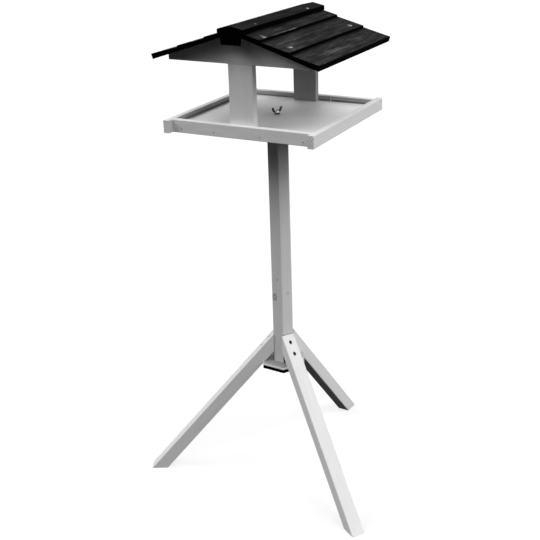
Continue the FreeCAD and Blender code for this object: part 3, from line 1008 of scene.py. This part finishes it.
# Worn places and painted highlights of a board: along it, down the slope, half length, half
# width, lean, strength
wear_and_highlight_patches = {
    "roof_board_right_top": [
        (-100, 56.5, 45, 3.5, 0.0, 0.084), (-198, 68, 4, 7, 0.0, 0.8),
        # the four patches at 78.5 down the slope are partly wear and partly a painted highlight
        # on the lower arris
        (-201, 75, 8, 2.5, 0.0, 1.2), (-38, 78.5, 12, 1.8, -0.05, 0.42),
        (-62, 78.5, 14, 1.8, 0.0, 0.30), (-98, 78.5, 18, 1.8, 0.0, 0.26),
        (-145, 78.5, 26, 1.8, 0.0, 0.18), (202, 72, 14, 5, -0.3, 0.053)],
    "roof_board_right_middle": [
        (-100, 117, 75, 3.5, 0.0, 0.11), (-110, 116, 9, 3, 0.0, 0.095),
        (-190, 115, 15, 5, 0.0, 0.076), (-105, 104, 32, 4, 0.0, 0.053),
        (28, 119, 15, 9, 0.0, 0.049), (95, 119, 36, 3, 0.0, 0.046),
        (-160, 138, 11, 5, -0.3, 0.076), (-200, 162, 8, 2.5, -0.3, 0.17),
        (-170, 163, 30, 2.5, 0.0, 0.057), (-190, 144, 9, 5, 0.0, 0.9),
        (190, 144, 9, 5, 0.0, 0.9)],
    "roof_board_right_bottom": [
        (-50, 221, 58, 6, 0.02, 0.14), (12, 221, 26, 4.5, 0.0, 0.091),
        (-105, 207, 50, 4.5, 0.1, 0.091), (-118, 222, 42, 7, 0.0, 0.061),
        (-70, 230, 28, 3, 0.0, 0.076), (-32, 195, 24, 3, 0.0, 0.084),
        (105, 212, 16, 7, -0.1, 0.076), (140, 205, 52, 7, 0.0, 0.038),
        (-185, 196, 36, 5, 0.0, 0.057), (-218, 205, 14, 12, 0.0, 0.038),
        # the last patch, at the lower edge, is partly a painted highlight on the arris
        (-140, 237, 24, 3, 0.0, 0.049), (-197, 249, 9, 2.5, -0.1, 0.15)],
    "roof_board_left_top": [(60, 55, 90, 5, 0.02, 0.076), (-150, 74, 30, 3, 0.0, 0.11)],
    "roof_board_left_middle": [(-40, 125, 90, 6, 0.03, 0.084), (120, 145, 50, 5, 0.0, 0.095),
                               (-185, 160, 14, 4, 0.0, 0.15)],
    "roof_board_left_bottom": [(80, 218, 70, 8, -0.04, 0.12), (20, 228, 40, 4, 0.0, 0.076),
                               (-120, 205, 60, 7, 0.05, 0.076), (180, 248, 25, 3, 0.0, 0.13)]}
board_knots = {
    "roof_board_right_bottom": [(206.0, 84.0, 6.0, 1.0), (228.0, -182.0, 4.0, 1.0)],
    "roof_board_right_middle": [(122.0, 20.0, 5.0, 1.0)],
    "roof_board_left_bottom": [(215.0, 40.0, 5.0, 1.0)],
    "roof_board_left_middle": [(140.0, -110.0, 4.0, 1.0)]}


def roof_boards():
    """The roof's boards; distances across run down the slope from the apex."""
    boards = {}
    apex = Vector((0, 0, roof_apex))
    for side_name, side in (("left", -1), ("right", 1)):
        upper = cap_edge_reach
        for row, lower in board_edges.items():
            name = "roof_board_" + side_name + "_" + row
            down = Vector((side * math.cos(roof_pitch), 0, -math.sin(roof_pitch)))
            out = Vector((side * math.sin(roof_pitch), 0, math.cos(roof_pitch)))
            board = Board((0, 1, 0), out, apex, knots=board_knots.get(name, ()),
                          seed=31 + len(boards), patches=wear_and_highlight_patches[name],
                          laps=(upper, lower), wander=streak_wanders[row])
            board.across = down
            boards[name] = board
            upper = lower
    boards["ridge_cap"] = Board((0, 1, 0), (0, 0, 1), middle_of("ridge_cap"), seed=41,
                                weather=cap_weather)
    for number, name in enumerate(("end_plate_front", "end_plate_back")):
        boards[name] = Board((1, 0, 0), (0, 0, 1), middle_of(name), seed=44 + number)
    boards["base_pad"] = Board(turned_about_post(math.pi / 2), (0, 0, 1),
                               middle_of("base_pad"), seed=43)
    return boards


def finish_node(node, material):
    """A CAD node keeps its shape and gets its finish in every slot."""
    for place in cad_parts[node].material_slots:
        place.material = material


def finish_timber():
    for node, board in {**stand_boards(), **tray_boards()}.items():
        finish_node(node, painted_wood("paint_" + node, board))
    for node, board in roof_boards().items():
        finish_node(node, stained_wood("stain_" + node, board))


def make_metalwork():
    made = {name: (metal(name, *look), slot) for name, (slot, *look) in metals.items()}
    for name, (node, maker, seed, chosen, finish, body) in fastener_pieces.items():
        shown(name, fasteners(node, maker, seed, chosen), made[finish], body, node)
    make_stud(made["stud_thread"])
    make_washer(made["plated_washer"])
    make_wing_nut(made["cast_nut"])


# Camera, light and floor

def make_camera():
    yaw, pitch, roll = (math.radians(a) for a in (camera_yaw, camera_pitch, camera_roll))
    forward = Vector((-math.sin(yaw) * math.cos(pitch), math.cos(yaw) * math.cos(pitch),
                      math.sin(pitch)))
    right = Vector((math.cos(yaw), math.sin(yaw), 0.0))
    up = right.cross(forward)
    leaned_right = right * math.cos(roll) + up * math.sin(roll)
    leaned_up = up * math.cos(roll) - right * math.sin(roll)
    data = bpy.data.cameras.new("camera")
    data.sensor_width = sensor_width
    data.lens = camera_focal_pixels / picture_pixels * data.sensor_width
    data.shift_x = (picture_pixels / 2 - camera_middle[0]) / picture_pixels
    data.shift_y = (camera_middle[1] - picture_pixels / 2) / picture_pixels
    camera = linked("camera", data)
    turn = Matrix((leaned_right, leaned_up, -forward)).transposed().to_4x4()
    camera.matrix_world = Matrix.Translation(camera_place) @ turn
    bpy.context.scene.camera = camera


def make_lamp(name, compass, height, width, strength):
    """A lamp so far off that it lights the feet and the roof alike."""
    data = bpy.data.lights.new(name, "SUN")
    data.angle = math.radians(width)
    data.energy = strength
    lamp = linked(name, data)
    level = math.cos(math.radians(height))
    place = Vector((level * math.cos(math.radians(compass)),
                    level * math.sin(math.radians(compass)),
                    math.sin(math.radians(height))))
    lamp.rotation_euler = place.to_track_quat("Z", "Y").to_euler()


def seen_rays(steps):
    """1 for what the camera, a mirror or a pane sees, 0 for light that falls on things."""
    rays = steps.add("LightPath").outputs
    seen = steps.math("MAXIMUM", rays["Is Camera Ray"], rays["Is Glossy Ray"])
    return steps.math("MAXIMUM", seen, rays["Is Transmission Ray"])


def make_sky():
    """White behind the object, and a plain even sky for the light."""
    world = bpy.data.worlds.new("studio")
    bpy.context.scene.world = world
    steps = Steps(world, "Background")
    strength = steps.add("MapRange", {"Value": seen_rays(steps), "To Min": sky_strength,
                                      "To Max": 1.0})
    steps.fill(steps.shader, {"Color": grey(1.0), "Strength": strength.outputs[0]})


def make_floor():
    """A pale floor that shows the object's soft shadow and throws little light back."""
    material = bpy.data.materials.new("pale_floor")
    steps = Steps(material)
    steps.tree.nodes.remove(steps.shader)

    def shader(kind, inputs):
        return steps.add(kind, inputs).outputs[0]

    bounce = shader("BsdfDiffuse", {"Color": grey(floor_bounce)})
    lit = shader("BsdfDiffuse", {"Color": grey(floor_tone)})
    glow = shader("Emission", {"Strength": floor_glow})
    both = shader("AddShader", {0: lit, 1: glow})
    chosen = shader("MixShader", {0: seen_rays(steps), 1: bounce, 2: both})
    steps.fill(steps.tree.nodes["Material Output"], {"Surface": chosen})
    corners = [(x * floor_reach, y * floor_reach, 0.0)
               for x, y in ((-1, -1), (1, -1), (1, 1), (-1, 1))]
    mesh = mesh_of("floor", (corners, [(0, 1, 2, 3)]))
    mesh.materials.append(material)
    linked("floor", mesh)


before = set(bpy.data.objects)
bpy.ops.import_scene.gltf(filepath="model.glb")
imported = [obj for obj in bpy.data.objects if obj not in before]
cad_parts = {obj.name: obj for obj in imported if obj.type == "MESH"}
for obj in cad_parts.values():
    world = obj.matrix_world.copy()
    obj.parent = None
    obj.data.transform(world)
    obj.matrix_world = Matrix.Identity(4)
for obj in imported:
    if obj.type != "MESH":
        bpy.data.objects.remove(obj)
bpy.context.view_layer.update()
bpy.context.scene.view_settings.view_transform = "Standard"
make_camera()
make_sky()
for lamp_name, (compass, height, width, strength) in soft_lamps.items():
    make_lamp(lamp_name, compass, height, width, strength)
make_floor()
finish_timber()
make_metalwork()
